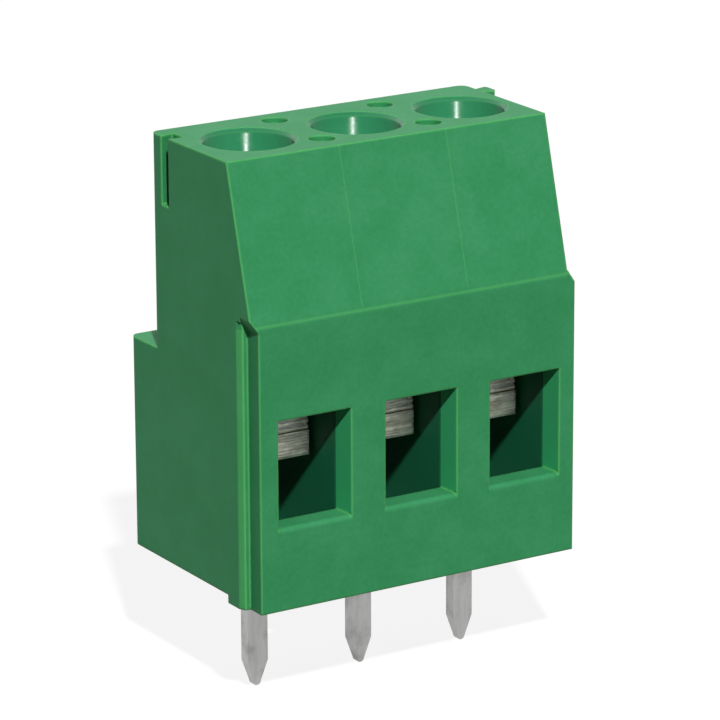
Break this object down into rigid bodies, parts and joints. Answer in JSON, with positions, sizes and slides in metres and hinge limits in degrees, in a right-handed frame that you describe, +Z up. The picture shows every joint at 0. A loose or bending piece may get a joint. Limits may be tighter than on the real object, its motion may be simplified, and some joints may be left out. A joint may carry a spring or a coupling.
{
  "type": "pcb_screw_terminal",
  "caption": "Green screw terminal block for a printed circuit board, with square wire windows in front, captive screws in holes on top, rising clamps and flat solder pins below",
  "frame": {"origin": "on the middle solder pin's axis, at the level of the board's top face", "axes": "+X along the row of poles to the right as the wire windows are faced, +Y to the back, +Z up out of the board"},
  "size_m": [0.0158, 0.0099, 0.0234],
  "materials": {
    "housing": "moulded polyamide, matt",
    "screw": "zinc-plated steel",
    "clamp": "nickel-plated steel",
    "contact": "tin-plated copper alloy"
  },
  "bodies": {
    "block": {"housing": "housing", "contact_1": "contact", "contact_2": "contact", "contact_3": "contact"},
    "screw_1": {"screw_1": "screw"},
    "clamp_1": {"clamp_1": "clamp"},
    "screw_2": {"screw_2": "screw"},
    "clamp_2": {"clamp_2": "clamp"},
    "screw_3": {"screw_3": "screw"},
    "clamp_3": {"clamp_3": "clamp"}
  },
  "joints": [
    {"name": "clamp_travel_1", "type": "slide", "parent": "block", "child": "clamp_1", "axis": [0, 0, -1], "range_m": [0, 0.003]},
    {"name": "screw_turn_1", "type": "hinge", "parent": "block", "child": "screw_1", "pos_m": [-0.00508, 0, 0.0148], "axis": [0, 0, 1], "range_deg": [0, 2400.01]},
    {"name": "clamp_travel_2", "type": "slide", "parent": "block", "child": "clamp_2", "axis": [0, 0, -1], "range_m": [0, 0.003]},
    {"name": "screw_turn_2", "type": "hinge", "parent": "block", "child": "screw_2", "pos_m": [0, 0, 0.0148], "axis": [0, 0, 1], "range_deg": [0, 2400.01]},
    {"name": "clamp_travel_3", "type": "slide", "parent": "block", "child": "clamp_3", "axis": [0, 0, -1], "range_m": [0, 0.003]},
    {"name": "screw_turn_3", "type": "hinge", "parent": "block", "child": "screw_3", "pos_m": [0.00508, 0, 0.0148], "axis": [0, 0, 1], "range_deg": [0, 2400.01]}
  ],
  "couplings": [
    {"joint": "screw_turn_1", "follows": "clamp_travel_1", "rad_per_m": 13963},
    {"joint": "screw_turn_2", "follows": "clamp_travel_2", "rad_per_m": 13963},
    {"joint": "screw_turn_3", "follows": "clamp_travel_3", "rad_per_m": 13963}
  ]
}
